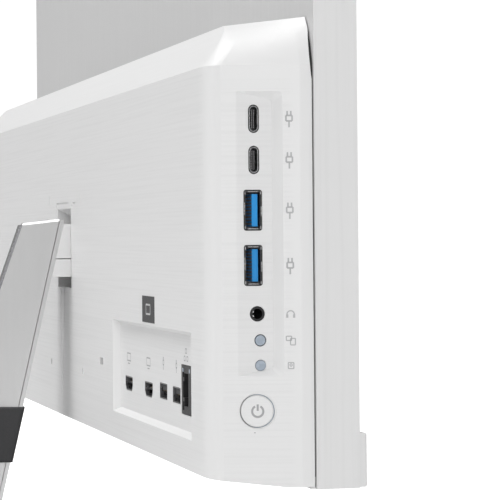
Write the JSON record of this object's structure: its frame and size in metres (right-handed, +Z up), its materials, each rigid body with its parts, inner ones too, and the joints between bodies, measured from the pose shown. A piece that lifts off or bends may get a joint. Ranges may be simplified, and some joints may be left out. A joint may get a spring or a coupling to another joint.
{
  "type": "all in one pc",
  "caption": "All-in-one desktop computer: thin display slab with a rear computer housing and side ports, tilting on one slanted leg and a flat base.",
  "frame": {"origin": "on the desk, in the middle of the object's footprint", "axes": "+Z up, -Y is where the screen faces, -X is the side with the side ports"},
  "size_m": [0.612, 0.186, 0.44],
  "materials": {
    "white_shell": "fine brushed texture, satin",
    "white_frame": "satin",
    "panel_glass": "anti-glare",
    "black_plastic": "satin",
    "port_metal": "stamped",
    "blue_plastic": "satin",
    "lens_grey": "translucent",
    "aluminium": "satin, bead blasted",
    "steel": "plated",
    "rubber": "matt",
    "charcoal": "matt silicone",
    "board_green": "solder mask",
    "copper": "bare",
    "label_grey": "printed film"
  },
  "bodies": {
    "stand": {"base_plate": "aluminium", "ballast_plate": "steel", "base_feet": "rubber", "leg_core": "aluminium", "leg_plate_left": "aluminium", "leg_plate_right": "aluminium", "leg_rear_cover": "port_metal", "leg_anchor": "steel", "leg_screws": "steel", "cable_clip": "charcoal", "hinge_neck": "aluminium", "neck_lower_cover": "aluminium", "hinge_shaft": "steel", "shaft_nuts": "steel"},
    "display": {"rear_housing": "white_shell", "slab_rear_cover": "white_frame", "speaker_bar": "white_frame", "front_bezel": "white_frame", "display_panel": "panel_glass", "backlight_tray": "aluminium", "chassis_plate": "steel", "speakers": "black_plastic", "camera_module": "board_green", "camera_lens": "black_plastic", "usb_c_shells": "port_metal", "usb_c_tongues": "black_plastic", "usb_a_shells": "port_metal", "usb_a_tongues": "blue_plastic", "audio_jack": "black_plastic", "status_lens": "lens_grey", "hdmi_shells": "port_metal", "hdmi_tongues": "black_plastic", "rear_usb_shells": "port_metal", "rear_usb_tongues": "black_plastic", "lan_jack": "black_plastic", "power_inlet": "black_plastic", "lock_insert": "steel", "rear_label": "label_grey", "mainboard": "board_green", "side_port_board": "board_green", "button_board": "board_green", "board_standoffs": "steel", "board_screws": "steel", "processor": "steel", "cold_plate": "copper", "heat_pipe": "copper", "memory_modules": "board_green", "storage_module": "board_green", "wireless_card": "board_green", "fin_stack": "aluminium", "fan_housing": "black_plastic", "hard_drive": "aluminium", "drive_caddy": "steel", "hinge_brackets": "steel", "hinge_screws": "steel"},
    "power_button": {"power_button": "white_shell"},
    "source_button": {"source_button": "lens_grey"},
    "fan_rotor": {"fan_rotor": "black_plastic"},
    "camera_shutter": {"camera_shutter": "white_frame"}
  },
  "joints": [
    {"name": "display_tilt", "type": "hinge", "parent": "stand", "child": "display", "pos_m": [0, -0.01, 0.155], "axis": [-1, 0, 0], "range_deg": [-5, 20]},
    {"name": "power_press", "type": "slide", "parent": "display", "child": "power_button", "axis": [1, 0, 0], "range_m": [0, 0.0006], "stiffness_N_per_m": 1500},
    {"name": "source_press", "type": "slide", "parent": "display", "child": "source_button", "axis": [1, 0, 0], "range_m": [0, 0.0004], "stiffness_N_per_m": 1500},
    {"name": "shutter_slide", "type": "slide", "parent": "display", "child": "camera_shutter", "axis": [-1, 0, 0], "range_m": [0, 0.007]},
    {"name": "fan_spin", "type": "hinge", "parent": "display", "child": "fan_rotor", "pos_m": [0.084, -0.0035, 0.132], "axis": [0, 1, 0], "continuous": true}
  ]
}
